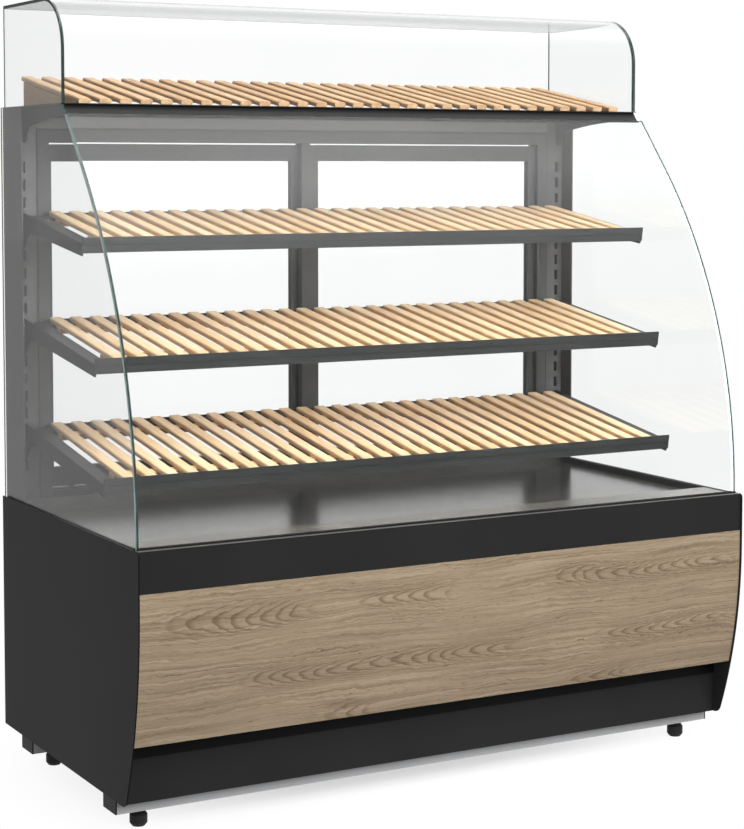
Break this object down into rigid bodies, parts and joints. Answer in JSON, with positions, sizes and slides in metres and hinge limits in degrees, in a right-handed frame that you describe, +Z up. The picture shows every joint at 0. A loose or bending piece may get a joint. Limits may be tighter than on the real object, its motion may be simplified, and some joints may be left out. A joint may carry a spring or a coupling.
{
  "type": "bread display case",
  "caption": "Free-standing glazed bread case: curved front glass, sloping slatted wood shelves, open-backed glass hood, sliding rear doors, wood-fronted base on levelling feet.",
  "frame": {"origin": "on the floor, under the middle of the case", "axes": "+X to the right seen from the front, +Y from the front glass to the rear doors, +Z up"},
  "size_m": [1.34, 0.718, 1.528],
  "materials": {
    "grey_steel": "satin powder coat",
    "black_steel": "satin powder coat",
    "dark_steel": "satin powder coat",
    "deck_steel": "bright sheet",
    "zinc_steel": "zinc plated",
    "dark_aluminium": "dark anodised",
    "black_plastic": "moulded",
    "black_rubber": "matt",
    "oak_panel": "light oak, oiled",
    "beech": "planed beech, oiled",
    "clear_glass": "clear float, polished edges"
  },
  "bodies": {
    "case": {"base_rails": "grey_steel", "rail_end_caps": "black_plastic", "foot_inserts": "zinc_steel", "base_floor": "black_steel", "side_panel_left": "black_steel", "side_panel_right": "black_steel", "front_band": "black_steel", "wood_front_panel": "oak_panel", "panel_support_strip": "black_steel", "plinth_panel": "dark_steel", "rear_base_panel": "dark_steel", "rear_panel_screws": "zinc_steel", "display_deck": "deck_steel", "front_glass_gasket": "black_rubber", "side_glass_channels": "dark_steel", "front_glass": "clear_glass", "side_glass_left": "clear_glass", "side_glass_right": "clear_glass", "upright_left": "dark_steel", "upright_right": "dark_steel", "top_shelf_deck": "dark_steel", "top_shelf_brackets": "dark_steel", "top_beam": "dark_steel", "door_head_track": "dark_aluminium", "door_jambs": "dark_aluminium", "door_sill_track": "dark_aluminium", "hood_glass": "clear_glass", "hood_side_glass": "clear_glass", "upper_shelf_rails": "dark_steel", "upper_shelf_brackets": "dark_steel", "middle_shelf_rails": "dark_steel", "middle_shelf_brackets": "dark_steel", "lower_shelf_rails": "dark_steel", "lower_shelf_brackets": "dark_steel"},
    "foot_front_left": {"foot_front_left": "black_plastic"},
    "foot_front_right": {"foot_front_right": "black_plastic"},
    "foot_rear_left": {"foot_rear_left": "black_plastic"},
    "foot_rear_right": {"foot_rear_right": "black_plastic"},
    "upper_shelf_grid": {"upper_shelf_slats": "beech", "upper_shelf_battens": "beech"},
    "middle_shelf_grid": {"middle_shelf_slats": "beech", "middle_shelf_battens": "beech"},
    "lower_shelf_grid": {"lower_shelf_slats": "beech", "lower_shelf_battens": "beech"},
    "top_grid": {"top_grid_slats": "beech", "top_grid_boards": "beech"},
    "door_left": {"door_left_frame": "dark_aluminium", "door_left_glass": "clear_glass", "door_left_finger_pull": "black_plastic", "door_left_top_guides": "black_plastic"},
    "door_left_roller_a": {"door_left_roller_a": "black_plastic"},
    "door_left_roller_b": {"door_left_roller_b": "black_plastic"},
    "door_right": {"door_right_frame": "dark_aluminium", "door_right_glass": "clear_glass", "door_right_finger_pull": "black_plastic", "door_right_top_guides": "black_plastic"},
    "door_right_roller_a": {"door_right_roller_a": "black_plastic"},
    "door_right_roller_b": {"door_right_roller_b": "black_plastic"}
  },
  "joints": [
    {"name": "foot_front_left_screw", "type": "slide", "parent": "case", "child": "foot_front_left", "axis": [0, 0, -1], "range_m": [0, 0.02]},
    {"name": "foot_front_right_screw", "type": "slide", "parent": "case", "child": "foot_front_right", "axis": [0, 0, -1], "range_m": [0, 0.02]},
    {"name": "foot_rear_left_screw", "type": "slide", "parent": "case", "child": "foot_rear_left", "axis": [0, 0, -1], "range_m": [0, 0.02]},
    {"name": "foot_rear_right_screw", "type": "slide", "parent": "case", "child": "foot_rear_right", "axis": [0, 0, -1], "range_m": [0, 0.02]},
    {"name": "upper_shelf_grid_lift", "type": "slide", "parent": "case", "child": "upper_shelf_grid", "axis": [0, 0, 1], "range_m": [0, 0.06]},
    {"name": "middle_shelf_grid_lift", "type": "slide", "parent": "case", "child": "middle_shelf_grid", "axis": [0, 0, 1], "range_m": [0, 0.06]},
    {"name": "lower_shelf_grid_lift", "type": "slide", "parent": "case", "child": "lower_shelf_grid", "axis": [0, 0, 1], "range_m": [0, 0.06]},
    {"name": "top_grid_lift", "type": "slide", "parent": "case", "child": "top_grid", "axis": [0, 0, 1], "range_m": [0, 0.06]},
    {"name": "door_left_slide", "type": "slide", "parent": "case", "child": "door_left", "axis": [1, 0, 0], "range_m": [0, 0.593]},
    {"name": "door_left_roller_a_spin", "type": "hinge", "parent": "door_left", "child": "door_left_roller_a", "pos_m": [-0.529, 0.33, 0.5543], "axis": [0, 1, 0], "continuous": true},
    {"name": "door_left_roller_b_spin", "type": "hinge", "parent": "door_left", "child": "door_left_roller_b", "pos_m": [-0.066, 0.33, 0.5543], "axis": [0, 1, 0], "continuous": true},
    {"name": "door_right_slide", "type": "slide", "parent": "case", "child": "door_right", "axis": [1, 0, 0], "range_m": [-0.593, 0]},
    {"name": "door_right_roller_a_spin", "type": "hinge", "parent": "door_right", "child": "door_right_roller_a", "pos_m": [0.066, 0.305, 0.5543], "axis": [0, 1, 0], "continuous": true},
    {"name": "door_right_roller_b_spin", "type": "hinge", "parent": "door_right", "child": "door_right_roller_b", "pos_m": [0.529, 0.305, 0.5543], "axis": [0, 1, 0], "continuous": true}
  ],
  "couplings": [
    {"joint": "door_left_roller_a_spin", "follows": "door_left_slide", "rad_per_m": 111.11},
    {"joint": "door_left_roller_b_spin", "follows": "door_left_slide", "rad_per_m": 111.11},
    {"joint": "door_right_roller_a_spin", "follows": "door_right_slide", "rad_per_m": 111.11},
    {"joint": "door_right_roller_b_spin", "follows": "door_right_slide", "rad_per_m": 111.11}
  ]
}
